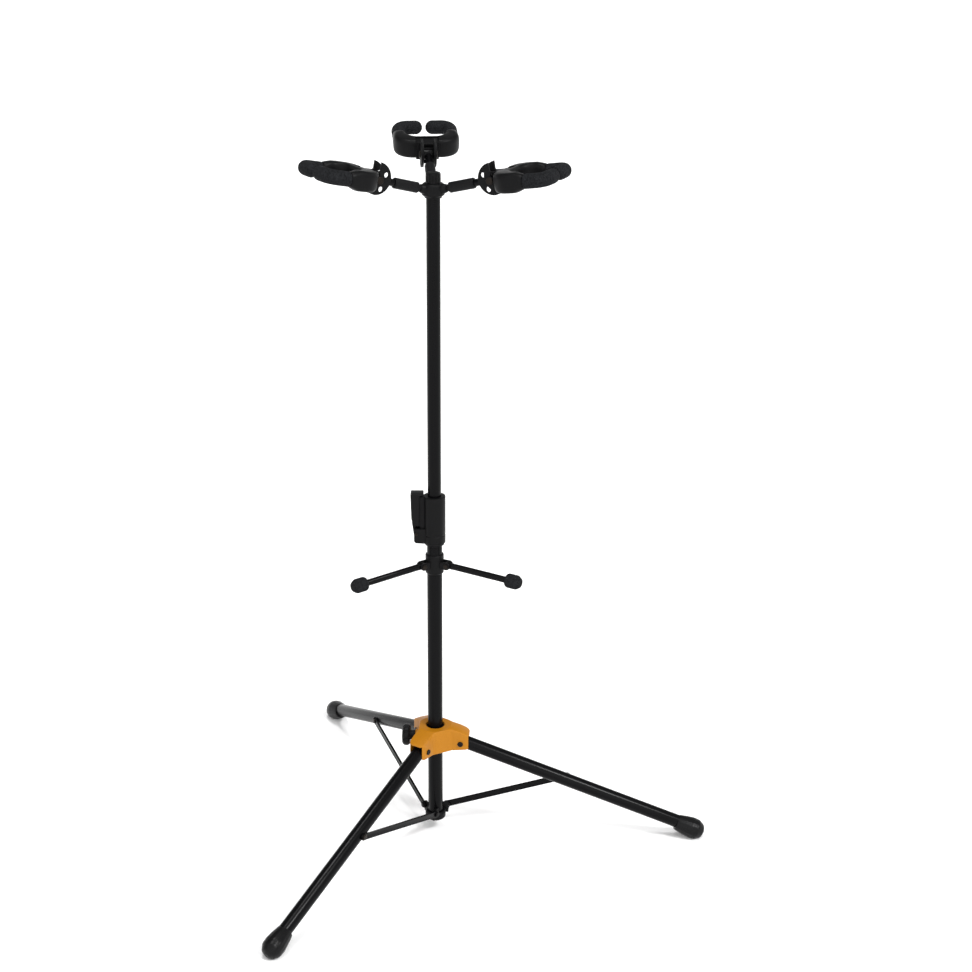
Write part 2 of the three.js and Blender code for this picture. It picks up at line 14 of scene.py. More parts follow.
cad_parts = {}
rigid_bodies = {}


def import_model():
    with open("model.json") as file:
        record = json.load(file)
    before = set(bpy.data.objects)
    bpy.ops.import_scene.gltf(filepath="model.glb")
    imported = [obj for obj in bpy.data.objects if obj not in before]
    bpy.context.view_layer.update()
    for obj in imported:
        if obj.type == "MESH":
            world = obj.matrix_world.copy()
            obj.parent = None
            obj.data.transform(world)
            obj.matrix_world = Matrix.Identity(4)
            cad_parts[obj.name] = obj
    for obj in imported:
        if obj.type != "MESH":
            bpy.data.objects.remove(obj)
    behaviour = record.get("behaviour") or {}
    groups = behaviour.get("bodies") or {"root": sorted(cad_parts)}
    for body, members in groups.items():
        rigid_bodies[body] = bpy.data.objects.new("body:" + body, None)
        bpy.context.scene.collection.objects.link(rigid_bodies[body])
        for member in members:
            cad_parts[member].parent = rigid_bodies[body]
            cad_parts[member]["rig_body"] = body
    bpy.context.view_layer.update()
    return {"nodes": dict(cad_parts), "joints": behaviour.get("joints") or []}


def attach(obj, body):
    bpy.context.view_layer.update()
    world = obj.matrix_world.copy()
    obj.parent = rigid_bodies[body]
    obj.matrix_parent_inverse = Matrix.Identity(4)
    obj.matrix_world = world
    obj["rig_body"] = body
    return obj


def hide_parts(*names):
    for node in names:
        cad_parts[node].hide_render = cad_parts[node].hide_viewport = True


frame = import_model()

JOINTS = {joint["name"]: joint for joint in frame["joints"]}
FLOOR = -20.0
SETS = (1, 2, 3)

# Radii that several pieces share
LOWER_TUBE, LOWER_TUBE_BORE = 11.1, 10.1
UPPER_TUBE, UPPER_TUBE_BORE = 9.75, 8.55
FITS_LOWER, FITS_UPPER = 11.4, 10.05  # bores that take the lower and the upper tube
LEG_TUBE, LEG_TUBE_BORE = 10, 8.8
PIN_BORE, RIVET_BORE = 3.3, 2.3
FINGER_STEM = 4.1

# ---------------------------------------------------------------- frames

MM = Matrix.Scale(0.001, 4)
OUTWARDS = Matrix.Rotation(math.pi / 2, 4, "Y")  # lays a turned shape along X
SIDEWAYS = Matrix.Rotation(-math.pi / 2, 4, "X")  # lays a turned shape along Y


def hinge(joint):
    """Azimuth, distance from the column's axis and height of a joint."""
    x, y, z = JOINTS[joint]["pos_m"]
    return math.atan2(y, x), 1000 * math.hypot(x, y), 1000 * z


def spot(azimuth=0.0, r=0.0, z=0.0, pitch=0.0, y=0.0):
    turn = Matrix.Rotation(azimuth, 4, "Z")
    return turn @ Matrix.Translation((r, y, z)) @ Matrix.Rotation(pitch, 4, "Y")


# ---------------------------------------------------------------- outlines


def arc(x, z, radius, start, end, steps=16):
    """Points on an arc, angles in degrees."""
    angles = [math.radians(start + (end - start) * k / steps) for k in range(steps + 1)]
    return [(x + radius * math.cos(a), z + radius * math.sin(a)) for a in angles]


def circle(x, z, radius, steps=32):
    return arc(x, z, radius, 0, 360, steps)[:-1]


def soften(points, radius, closed=True, steps=4):
    """A polyline with rounded corners. A point's third number is its own radius."""
    out = []
    for i, point in enumerate(points):
        r = point[2] if len(point) > 2 else radius
        corner = Vector(point[:2])
        if r <= 0 or (not closed and i in (0, len(points) - 1)):
            out.append(tuple(corner))
            continue
        back = Vector(points[i - 1][:2]) - corner
        on = Vector(points[(i + 1) % len(points)][:2]) - corner
        half = back.angle(on) / 2
        if half > 1.53:
            out.append(tuple(corner))
            continue
        reach = min(r / math.tan(half), 0.48 * back.length, 0.48 * on.length)
        true = reach * math.tan(half)
        centre = corner + (back.normalized() + on.normalized()).normalized() * (true / math.sin(half))
        a = corner + back.normalized() * reach - centre
        b = corner + on.normalized() * reach - centre
        for k in range(steps + 1):
            t = k / steps
            out.append(tuple(centre + (a * (1 - t) + b * t).normalized() * true))
    return out


# ---------------------------------------------------------------- shapes: (points, faces)


def turned(profile, sides=64, wave=None):
    """A profile of (radius, z) turned about Z. It closes on the axis, or on itself."""
    points, faces, rings = [], [], []
    for r, z in profile:
        if r < 1e-6:
            rings.append([len(points)] * sides)
            points.append((0.0, 0.0, z))
            continue
        rings.append(list(range(len(points), len(points) + sides)))
        for k in range(sides):
            a = 2 * math.pi * k / sides
            s = r * wave(a, r, z) if wave else r
            points.append((s * math.cos(a), s * math.sin(a), z))
    loop = all(r > 1e-6 for r, _ in profile)
    for a, b in zip(rings, rings[1:] + rings[:1] if loop else rings[1:]):
        for k in range(sides):
            n = (k + 1) % sides
            face = [a[k], a[n], b[n], b[k]]
            face = [v for i, v in enumerate(face) if v != face[i - 1]]
            if len(face) > 2:
                faces.append(face)
    return points, faces


def rod(radius, z0, z1, edge=0.4, sides=48):
    corners = [(0, z0), (radius, z0), (radius, z1), (0, z1)]
    return turned(soften(corners, edge, closed=False), sides)


def sleeve(outer, inner, z0, z1, edge=0.3, sides=96):
    return turned(soften([(inner, z0), (outer, z0), (outer, z1), (inner, z1)], edge), sides)


def box(x0, x1, y0, y1, z0, z1):
    points = [(x, y, z) for x in (x0, x1) for y in (y0, y1) for z in (z0, z1)]
    faces = [(0, 1, 3, 2), (4, 6, 7, 5), (0, 4, 5, 1), (2, 3, 7, 6), (0, 2, 6, 4), (1, 5, 7, 3)]
    return points, faces


def lofted(rings):
    """A closed skin over rings of the same number of points, with a flat face at each end."""
    sides = len(rings[0])
    faces = []
    for i in range(len(rings) - 1):
        a, b = i * sides, (i + 1) * sides
        for k in range(sides):
            n = (k + 1) % sides
            faces.append((a + k, a + n, b + n, b + k))
    last = (len(rings) - 1) * sides
    faces += [tuple(range(sides)), tuple(range(last, last + sides))]
    return [point for ring in rings for point in ring], faces


def round_angles(sides):
    return [2 * math.pi * k / sides for k in range(sides)]


def moved(shape, matrix):
    points, faces = shape
    return [tuple(matrix @ Vector(p)) for p in points], faces


def mesh_from(shape, name="work"):
    mesh = bpy.data.meshes.new(name)
    points, faces = shape
    mesh.from_pydata(points, [], [list(f) for f in faces])
    work = bmesh.new()
    work.from_mesh(mesh)
    bmesh.ops.remove_doubles(work, verts=work.verts, dist=1e-4)
    bmesh.ops.recalc_face_normals(work, faces=work.faces)
    work.to_mesh(mesh)
    work.free()
    return mesh


def stand_in(shape):
    thing = bpy.data.objects.new("work", mesh_from(shape))
    bpy.context.scene.collection.objects.link(thing)
    return thing


def evaluated(thing):
    """What an object's modifiers make of it, as a shape. The object is removed."""
    graph = bpy.context.evaluated_depsgraph_get()
    mesh = bpy.data.meshes.new_from_object(thing.evaluated_get(graph))
    shape = ([tuple(v.co) for v in mesh.vertices], [tuple(p.vertices) for p in mesh.polygons])
    bpy.data.meshes.remove(mesh)
    bpy.data.objects.remove(thing)
    return shape


def changed(shape, *modifiers):
    thing = stand_in(shape)
    for kind, settings in modifiers:
        modifier = thing.modifiers.new(kind, kind)
        for key, value in settings.items():
            setattr(modifier, key, value)
    return evaluated(thing)


def combined(operation, base, tools):
    thing = stand_in(base)
    helpers = [stand_in(tool) for tool in tools]
    for helper in helpers:
        modifier = thing.modifiers.new("cut", "BOOLEAN")
        modifier.operation = operation
        modifier.solver = "EXACT"
        modifier.object = helper
    result = evaluated(thing)
    for helper in helpers:
        bpy.data.objects.remove(helper)
    return result


def join(base, *tools):
    return combined("UNION", base, tools)


def cut(base, *tools):
    return combined("DIFFERENCE", base, tools)


def overlap(base, *tools):
    return combined("INTERSECT", base, tools)


def slab(outline, z0, z1, bevel=0.5, holes=()):
    """A plan outline given height, with rounded edges and holes right through."""
    curve = bpy.data.curves.new("work", "CURVE")
    curve.dimensions = "2D"
    curve.fill_mode = "BOTH"
    curve.extrude = (z1 - z0) / 2 - bevel
    curve.bevel_depth = bevel
    curve.bevel_resolution = 2
    curve.offset = -bevel
    for loop in (outline, *holes):
        spline = curve.splines.new("POLY")
        spline.points.add(len(loop) - 1)
        for point, (x, y) in zip(spline.points, loop):
            point.co = (x, y, 0, 1)
        spline.use_cyclic_u = True
    thing = bpy.data.objects.new("work", curve)
    bpy.context.scene.collection.objects.link(thing)
    return moved(evaluated(thing), Matrix.Translation((0, 0, (z0 + z1) / 2)))


def plate(outline, y0, y1, bevel=0.5, holes=()):
    """An outline in the X-Z plane given thickness from y0 to y1."""
    flat = slab(outline, -y1, -y0, bevel, holes)
    return moved(flat, Matrix.Rotation(math.pi / 2, 4, "X"))


def across(radius, half, x=0.0, z=0.0, sides=32):
    """A plain cylinder lying sideways through (x, z)."""
    bar = rod(radius, -half, half, 0, sides)
    return moved(bar, Matrix.Translation((x, 0, z)) @ SIDEWAYS)


def swept(path, radius, start_edge, sides=40):
    """A round bar along a path in the X-Y plane, with a rounded start and a domed end."""
    start_rings, dome_rings = 4, 8
    path = [Vector(point) for point in path]
    first = path[1] - path[0]
    last = (path[-1] - path[-2]).normalized()
    stations = []
    for k in range(start_rings + 1):
        along = start_edge * k / start_rings
        inset = math.sqrt(max(start_edge**2 - (start_edge - along) ** 2, 0)) - start_edge
        stations.append((path[0] + first.normalized() * along, first, radius + inset))
    for before, point, after in zip(path, path[1:], path[2:]):
        stations.append((point, after - before, radius))
    for k in range(dome_rings):
        a = math.pi / 2 * k / dome_rings
        stations.append((path[-1] + last * radius * math.sin(a), last, radius * math.cos(a)))
    rings = []
    for centre, way, r in stations:
        way = way.normalized()
        side = Vector((-way.y, way.x))
        ring = []
        for a in round_angles(sides):
            p = centre + side * (r * math.cos(a))
            ring.append((p.x, p.y, r * math.sin(a)))
        rings.append(ring)
    return lofted(rings)


# ---------------------------------------------------------------- materials


COLOUR_STOPS = (0.3, 0.7)  # where on the noise the darkest and the lightest shade lie
ROUGHNESS_SPREAD = 0.06
NOISE_DETAIL = 4


def material(name, colour, roughness, metallic=0.0, grain=900.0, relief=0.0, mottle=0.1, gloss=0.15):
    """A solid finish with grain features per metre, mottled by a share and raised by relief metres."""
    made = bpy.data.materials.new(name)
    made.use_nodes = True
    nodes, links = made.node_tree.nodes, made.node_tree.links
    shader = nodes["Principled BSDF"]
    shader.inputs["Metallic"].default_value = metallic
    shader.inputs["Specular IOR Level"].default_value = gloss
    place = nodes.new("ShaderNodeTexCoord")
    noise = nodes.new("ShaderNodeTexNoise")
    noise.inputs["Scale"].default_value = grain
    noise.inputs["Detail"].default_value = NOISE_DETAIL
    links.new(place.outputs["Object"], noise.inputs["Vector"])
    ramp = nodes.new("ShaderNodeValToRGB")
    shades = zip(ramp.color_ramp.elements, COLOUR_STOPS, (1 - mottle, 1 + mottle))
    for element, stop, share in shades:
        element.position = stop
        element.color = (*[min(c * share, 1) for c in colour], 1)
    links.new(noise.outputs["Fac"], ramp.inputs["Fac"])
    links.new(ramp.outputs["Color"], shader.inputs["Base Color"])
    spread = nodes.new("ShaderNodeMapRange")
    spread.inputs["To Min"].default_value = max(roughness - ROUGHNESS_SPREAD, 0.05)
    spread.inputs["To Max"].default_value = min(roughness + ROUGHNESS_SPREAD, 1)
    links.new(noise.outputs["Fac"], spread.inputs["Value"])
    links.new(spread.outputs["Result"], shader.inputs["Roughness"])
    if relief:
        bump = nodes.new("ShaderNodeBump")
        bump.inputs["Strength"].default_value = 1
        bump.inputs["Distance"].default_value = relief
        links.new(noise.outputs["Fac"], bump.inputs["Height"])
        links.new(bump.outputs["Normal"], shader.inputs["Normal"])
    return made


BLACK = (0.004, 0.004, 0.0043)
FINISHES = {
    "tube": material("black_enamel", (0.002, 0.002, 0.0023), 0.24, grain=700, relief=1e-5, gloss=0.08),
    "plastic": material("black_plastic", BLACK, 0.4, grain=1500, relief=4e-5, mottle=0.2, gloss=0.08),
    "grip": material("grained_sleeve", (0.006, 0.006, 0.0065), 0.5, grain=1100, relief=3e-4, mottle=0.4,
                     gloss=0.08),
    "gold": material("gold_plastic", (0.35, 0.134, 0.003), 0.42, grain=500, relief=3e-5, mottle=0.05,
                     gloss=0.2),
    "steel": material("dark_steel", (0.018, 0.015, 0.013), 0.38, metallic=0.9, grain=1200, mottle=0.15),
    "foam": material("dark_foam", (0.01, 0.0104, 0.0115), 0.85, grain=650, relief=6e-4, mottle=0.8,
                     gloss=0.06),
    "rubber": material("black_rubber", BLACK, 0.3, grain=600, relief=2e-4, mottle=0.35, gloss=0.11),
}


def piece(name, shape, where, node, slot, sharp=40, hides=True):
    """A finished piece: the shape is placed, smoothed, and rides with the CAD node's body."""
    mesh = mesh_from(shape, name)
    mesh.transform(MM @ where)
    for polygon in mesh.polygons:
        polygon.use_smooth = True
    mesh.set_sharp_from_angle(angle=math.radians(sharp))
    mesh.materials.append(FINISHES[slot])
    thing = bpy.data.objects.new(name, mesh)
    bpy.context.scene.collection.objects.link(thing)
    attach(thing, frame["nodes"][node]["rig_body"])
    if hides:
        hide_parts(node)
    return thing


HERE = Matrix.Identity(4)

# ---------------------------------------------------------------- column

piece("column_lower", sleeve(LOWER_TUBE, LOWER_TUBE_BORE, 3.3, 462), HERE, "lower_tube", "tube")
piece("column_upper", sleeve(UPPER_TUBE, UPPER_TUBE_BORE, 290, 981), HERE, "upper_tube", "tube")
GLIDE = [(0, 285), (8.25, 285), (UPPER_TUBE, 286.5), (UPPER_TUBE, 289.7), (8.25, 289.7), (8.25, 302),
         (0, 302)]
piece("column_glide", turned(soften(GLIDE, 0.4, closed=False)), HERE, "tube_glide", "plastic")

HUB = [(FITS_UPPER, 964.5), (12.2, 964.5), (12.2, 966.5), (15.5, 968.5), (15.5, 982), (13.5, 984), (0, 984),
       (0, 981.3), (FITS_UPPER, 981.3), (FITS_UPPER, 964.5)]
HUB_BOSS = [(0, 0), (6.8, 0), (6.8, 4.5, 2), (5.4, 9.5, 0.8), (0, 9.5)]
ARM_ROOT = (12.0, 977.0)


def arm_frame(i):
    """Where arm i leaves the top hub, the angle it rises at, and its length to the yoke's pivot."""
    azimuth, r, z = hinge(f"yoke_{i}_fold")
    run, rise = r - ARM_ROOT[0], z - ARM_ROOT[1]
    return azimuth, math.atan2(rise, run), math.hypot(run, rise)


def arm_root(i):
    azimuth, slope, _ = arm_frame(i)
    return spot(azimuth, *ARM_ROOT, -slope)


ARM_BORE = 4.1
arm_bores = [moved(rod(ARM_BORE, -0.5, 30, 0), arm_root(i) @ OUTWARDS) for i in SETS]
bosses = [moved(turned(soften(HUB_BOSS, 0, closed=False), 48), arm_root(i) @ OUTWARDS) for i in SETS]
hub = join(turned(soften(HUB, 0.8, closed=False), 96), *bosses)
piece("hub_top", cut(hub, *arm_bores), HERE, "top_hub", "plastic")


def fade_between(z, low, high, rise, fall):
    """0 outside low..high and 1 well inside it."""
    return min(max((z - low) / rise, 0), 1) * min(max((high - z) / fall, 0), 1)


RIBS, RIB_DEPTH, RIB_LOW, RIB_HIGH = 20, 0.05, 985.5, 997.5


def ribs(angle, r, z):
    """Moulded ribs round the cap, which die out at its rims."""
    fade = fade_between(z, RIB_LOW, RIB_HIGH, 1.5, 1.5)
    return 1 - RIB_DEPTH * fade * (0.5 - 0.5 * math.cos(RIBS * angle)) if r > 9 else 1


CAP = [(0, 984.3), (10.4, 984.3), *[(10.4, RIB_LOW + k) for k in range(12)], (9.8, 998.2), (7.8, 999),
       (0, 999)]
piece("cap_top", turned(CAP, 240, ribs), HERE, "top_cap", "plastic")

# ---------------------------------------------------------------- height clutch

lever_azimuth, LEVER_R, LEVER_Z = hinge("clutch_squeeze")
lever_frame = spot(lever_azimuth)
BARREL = [(0, 456), (14.2, 456), (14.2, 458.4), (16, 459.4), (16, 471), (15.4, 471.6), (15.4, 472.8),
          (16, 473.4), (16, 531), (0, 531)]
BARREL_INSIDE = [(0, 455), (FITS_LOWER, 455), (FITS_LOWER, 462.3), (FITS_UPPER, 462.3), (FITS_UPPER, 467),
                 (13.8, 467), (13.8, 519), (FITS_UPPER, 522), (FITS_UPPER, 532), (0, 532)]
FORK = [(8, 459, 0), (27, 460, 2), (29.5, 463, 2), (29.5, 482, 1), (8, 482, 0)]
TONGUE = [(8, 480, 0), (26.6, 480, 0), (26.6, 486, 0.5), (24.3, 531, 1.5), (8, 531, 0)]
arms = [plate(soften(FORK, 1), -9.5, 9.5, 1), plate(soften(TONGUE, 1), -6.3, 6.3, 0.6)]
barrel = join(turned(soften(BARREL, 0.8, closed=False), 96), *[moved(arm, lever_frame) for arm in arms])
hollows = [box(20.5, 31, -6.6, 6.6, 465, 486), box(10, 31, -3.6, 3.6, 494, 506),
           across(RIVET_BORE, 11, LEVER_R, LEVER_Z)]
barrel = cut(barrel, turned(BARREL_INSIDE, 96), *[moved(hollow, lever_frame) for hollow in hollows])
piece("clutch_barrel", barrel, HERE, "clutch_body", "plastic")

STEM = [(25, 472), (30, 474, 3), (32.4, 492, 0), (29.6, 492, 0)]
CHANNEL = [(30.2, 486.5), (33.2, 498, 12), (34.2, 533, 2), (34.2, 536, 1.5), (15.5, 536, 0.8),
           (15.5, 532.8, 0.3), (21, 532.8, 0.2), (22, 486.5, 1.5)]
channel = cut(plate(soften(CHANNEL, 1), -9, 9, 1), box(14, 29.6, -6.9, 6.9, 480, 532.8))
stem = plate(soften(STEM, 1), -6, 6, 0.3)
finger = box(18, 31, -3, 3, 497.5, 501.5)  # presses on the clutch plate
lever = join(channel, stem, across(4, 6, LEVER_R, LEVER_Z), finger)
lever = cut(lever, across(RIVET_BORE, 11, LEVER_R, LEVER_Z))
piece("clutch_grip", lever, lever_frame, "clutch_lever", "plastic")

clutch_pin = moved(rod(2, -10.2, 10.2, 0.5), Matrix.Translation((LEVER_R, 0, LEVER_Z)) @ SIDEWAYS)
piece("clutch_pin", clutch_pin, lever_frame, "clutch_lever_pin", "steel")
piece("clutch_jaw", sleeve(13.5, FITS_UPPER, 498, 501), HERE, "clutch_plate", "steel")


def coil(turns, low, high, radius, wire, steps=48, sides=12):
    """A compression spring's wire about Z."""
    rings = []
    count = turns * steps + 1
    for i in range(count):
        a = 2 * math.pi * i / steps
        out = Vector((math.cos(a), math.sin(a), 0))
        centre = out * radius + Vector((0, 0, low + (high - low) * i / (count - 1)))
        rings.append([
            tuple(centre + out * wire * math.cos(b) + Vector((0, 0, wire * math.sin(b))))
            for b in round_angles(sides)
        ])
    return lofted(rings)


piece("clutch_coil", coil(4, 469, 496, 12, 0.8), HERE, "clutch_spring", "steel")

# ---------------------------------------------------------------- backrests

COLLAR = [(FITS_LOWER, 411), (12.4, 411, 0.6), (13.4, 412.5, 0.8), (13.4, 439.5, 0.8), (12.4, 441, 0.6),
          (FITS_LOWER, 441)]
EAR_R, EAR_ROOT = 5.5, 11.9
ears = []
for i in SETS:
    azimuth, r, z = hinge(f"backrest_{i}_fold")
    outline = [(EAR_ROOT, z - EAR_R), *arc(r, z, EAR_R, -90, 90, 20), (EAR_ROOT, z + EAR_R)]
    for near, far in ((-6.8, -3.9), (3.9, 6.8)):
        ears.append(moved(plate(outline, near, far, 0.4, [circle(r, z, RIVET_BORE)]), spot(azimuth)))
collar = join(turned(soften(COLLAR, 0.2), 96), *ears)
piece("backrest_ring", collar, HERE, "backrest_collar", "plastic")

DROOP = math.radians(2.5)
PIN = [(0, -8.4), (3.6, -8.4, 0.9), (3.6, -7.1, 0.1), (2, -7.1), (2, 7.1), (3.6, 7.1, 0.1), (3.6, 8.4, 0.9),
       (0, 8.4)]
knuckle = moved(rod(5, -3.5, 3.5, 0.6), SIDEWAYS)
neck = changed(box(0, 9, -3.5, 3.5, -4, 4), ("BEVEL", {"width": 0.8, "segments": 3}))
bar = moved(rod(4.75, 6.4, 103, 0.8), OUTWARDS)
rest = cut(join(bar, neck, knuckle), across(RIVET_BORE, 5))
PAD = [(5.05, 94), (8.5, 94, 1.5), (10.5, 97, 3), (10.5, 111, 4), (6.5, 117, 3), (0, 118), (0, 103.3),
       (5.05, 103.3)]
for i in SETS:
    azimuth, r, z = hinge(f"backrest_{i}_fold")
    at = spot(azimuth, r, z, DROOP)
    pin = turned(soften(PIN, 0.2, closed=False), 48)
    piece(f"backrest_rivet_{i}", pin, at @ SIDEWAYS, f"backrest_pin_{i}", "steel")
    piece(f"backrest_bar_{i}", rest, at, f"backrest_rod_{i}", "tube")
    pad = turned(soften(PAD, 0.3), 64)
    pad = piece(f"backrest_tip_{i}", pad, at @ OUTWARDS, f"backrest_pad_{i}", "foam")

# ---------------------------------------------------------------- tripod

LEG_R, LEG_Z = hinge("leg_1_fold")[1:]
LEG_SLOPE = math.radians(21.28)
leg_azimuths = [hinge(f"leg_{i}_fold")[0] for i in SETS]
knob_azimuth = math.atan2(JOINTS["knob_turn"]["axis"][1], JOINTS["knob_turn"]["axis"][0])
KNOB_Z = 1000 * JOINTS["knob_turn"]["pos_m"][2]
knob_frame = spot(knob_azimuth, 0, KNOB_Z) @ OUTWARDS

# The casting: three lobes run into each other in plan, under a top that falls away outwards.
plan = []
for azimuth in leg_azimuths:
    turn = Matrix.Rotation(azimuth, 2)
    corners = [(25, -13.6), (52, -13.4), (52, 13.4), (25, 13.6)]
    radii = [9, 7, 7, 9]
    plan += [(*(turn @ Vector(corner)), radius) for corner, radius in zip(corners, radii)]
CASTING = [(0, 120.4), (19, 120.4), (23, 122.6), (50, 124.8), (53, 125.4), (53, 147.2), (48, 150.4),
           (40, 154.4), (30, 158), (24, 160.2), (0, 160.2)]
casting = overlap(slab(soften(plan, 7, steps=8), 110, 170, 0.01), turned(CASTING, 128))
boss = moved(rod(9.5, 15, 30, 1.2), knob_frame)
casting = changed(
    join(casting, boss),
    ("REMESH", {"mode": "VOXEL", "voxel_size": 0.6}),
    ("SMOOTH", {"factor": 0.5, "iterations": 14}),
    ("DECIMATE", {"ratio": 0.3}),
)
SLOT = [(24, 112), (57, 112), (57, 143.2), (50, 147.3), (24, 147.3)]
SCREW_BORE, BUSH, BUSH_BORE = 4.6, 13.9, 14.2
slots = [plate(soften(SLOT, 0), -10.6, 10.6, 0.01), across(PIN_BORE, 20, LEG_R, LEG_Z)]
slots = [moved(tool, spot(azimuth)) for azimuth in leg_azimuths for tool in slots]
screw_hole = moved(rod(SCREW_BORE, 10, 40, 0), knob_frame)
casting = cut(casting, rod(BUSH_BORE, 112, 170, 0, 96), screw_hole, *slots)
piece("housing_casting", casting, HERE, "leg_housing", "gold", sharp=50)

screw_hole = moved(rod(SCREW_BORE, 8, 30, 0), knob_frame)
liner = cut(sleeve(BUSH, FITS_LOWER, 123, 157.5, 0.5), screw_hole)
piece("housing_liner", liner, HERE, "housing_bush", "plastic")


GROOVES, GROOVE_DEPTH, RIM_INSIDE = 8, 0.13, 12.5


def flutes(angle, r, z):
    """Finger grooves round the knob's rim."""
    return 1 - GROOVE_DEPTH * max(math.cos(GROOVES * angle), 0) ** 2 if r > RIM_INSIDE else 1


KNOB = [(0, 11.7), (3.4, 11.7), (4, 12.4), (4, 30.4, 0.2), (7.2, 30.4), (7.2, 37.5), (13, 37.5, 1),
        (16, 40.5, 2.5), (16, 46.5, 2.5), (13, 49.5, 2), (9.5, 49.5, 0.5), (9, 48.6, 0.5), (0, 48.6)]
knob = turned(soften(KNOB, 0.4, closed=False), 192, flutes)
piece("knob_grip", knob, knob_frame, "locking_knob", "plastic")

# A brace runs from the hub's stud to a rivet beside its leg, at this distance to the side.
BRACE_R, BRACE_Z = 16.0, 15.7
BRACE_FAR_R, BRACE_FAR_Z = 200, 71.6
BRACE_SIDE = 11.9
BRACE_EYE, BRACE_HOLE = 5.4, 2.9
STRIP = Vector((BRACE_FAR_R - BRACE_R, BRACE_FAR_Z - BRACE_Z))
CUP = [(0, 0), (13, 0, 1), (15.5, 2.5, 1.5), (15.5, 10, 1), (13.4, 12.5, 0.8), (0, 12.5)]
EAR = [(4, 4), (19, 4, 1), (19.6, 11.7), *arc(BRACE_R, BRACE_Z, BRACE_EYE, -48, 90, 20), (4, 21.1)]
STUD = [(0, 8.5), (2.5, 8.5), (2.5, 13.8), (4.2, 13.8, 0.1), (4.2, 15.4, 1.1), (0, 15.4)]
lugs = []
for azimuth in leg_azimuths:
    lugs.append(moved(plate(soften(EAR, 0), 6.8, 10, 0.4), spot(azimuth)))
    stud = turned(soften(STUD, 0.1, closed=False), 32)
    lugs.append(moved(stud, spot(azimuth, BRACE_R, BRACE_Z) @ SIDEWAYS))
foot_hub = join(turned(soften(CUP, 0.5, closed=False), 96), *lugs)
piece("hub_foot", cut(foot_hub, rod(FITS_LOWER, 3, 40, 0, 96)), HERE, "brace_hub", "plastic")

length = STRIP.length
outline = arc(0, 0, BRACE_EYE, 61.6, 298.4, 28) + arc(length, 0, BRACE_EYE, 241.6, 478.4, 28)
strip = plate(outline, -1.6, 1.6, 0.5, [circle(x, 0, BRACE_HOLE) for x in (0, length)])
STRIP_SLOPE = math.atan2(STRIP.y, STRIP.x)
RIVET = [(0, -1.6), (2.5, -1.6, 0.4), (2.5, 1.9, 0.05), (4.4, 1.9, 0.1), (4.4, 3.4, 1.1), (0, 3.4)]
rivet = turned(soften(RIVET, 0.1, closed=False), 48)
BOLT = [(0, -15.3), (4.2, -15.3, 1.1), (4.2, -13.7, 0.1), (3, -13.7), (3, 13.7), (4.2, 13.7, 0.1),
        (4.2, 15.3, 1.1), (0, 15.3)]
socket = rod(1.9, 14.4, 17, 0, 6)
sockets = [socket, moved(socket, Matrix.Rotation(math.pi, 4, "X"))]
bolt = cut(turned(soften(BOLT, 0.1, closed=False), 48), *sockets)
LEG_START, LEG_END = -7, 384
tube = moved(sleeve(LEG_TUBE, LEG_TUBE_BORE, LEG_START, LEG_END, 0.4, 64), OUTWARDS)
tube = cut(tube, across(PIN_BORE, 20))
BOOT = [(0, 354), (11.6, 354, 0.8), (12.8, 359, 3), (14.6, 368, 9), (16, 377.5, 12), (15.5, 387.5, 7),
        (10.5, 396, 6), (4, 399, 6), (0, 399)]
BOOT_DROP = 1.9  # how far the boot hangs below the leg's own line
RIDGES, RIDGE_DEPTH, RIDGE_START, RIDGE_END = 16, 0.02, 358, 388


def ridges(angle, r, z):
    """Shallow moulded flutes along the boot, which fade towards its tip."""
    fade = fade_between(z, RIDGE_START, RIDGE_END, 6, 8)
    return 1 - RIDGE_DEPTH * fade * (0.5 + 0.5 * math.cos(RIDGES * angle))


down_leg = Matrix.Rotation(LEG_SLOPE, 4, "Y")
boot = turned(soften(BOOT, 1, closed=False, steps=6), 96, ridges)
boot = moved(boot, Matrix.Translation((0, 0, -BOOT_DROP)) @ down_leg @ OUTWARDS)
bore = moved(rod(LEG_TUBE + 0.3, 340, LEG_END + 0.3, 0), down_leg @ OUTWARDS)
ground = box(250, 420, -30, 30, FLOOR - LEG_Z - 30, FLOOR - LEG_Z)
boot = cut(boot, ground, bore)
for i, azimuth in zip(SETS, leg_azimuths):
    at = spot(azimuth, LEG_R, LEG_Z)
    piece(f"leg_screw_{i}", bolt, at @ SIDEWAYS, f"leg_bolt_{i}", "steel")
    piece(f"leg_pipe_{i}", tube, at @ down_leg, f"leg_tube_{i}", "tube")
    piece(f"leg_boot_{i}", boot, at, f"leg_foot_{i}", "rubber")
    at = spot(azimuth, BRACE_R, BRACE_Z, -STRIP_SLOPE, BRACE_SIDE)
    piece(f"brace_strip_{i}", strip, at, f"brace_{i}", "tube")
    at = spot(azimuth, BRACE_R + STRIP.x, BRACE_Z + STRIP.y, 0, BRACE_SIDE) @ SIDEWAYS
    piece(f"brace_stud_{i}", rivet, at, f"brace_rivet_{i}", "steel")

# ---------------------------------------------------------------- yokes

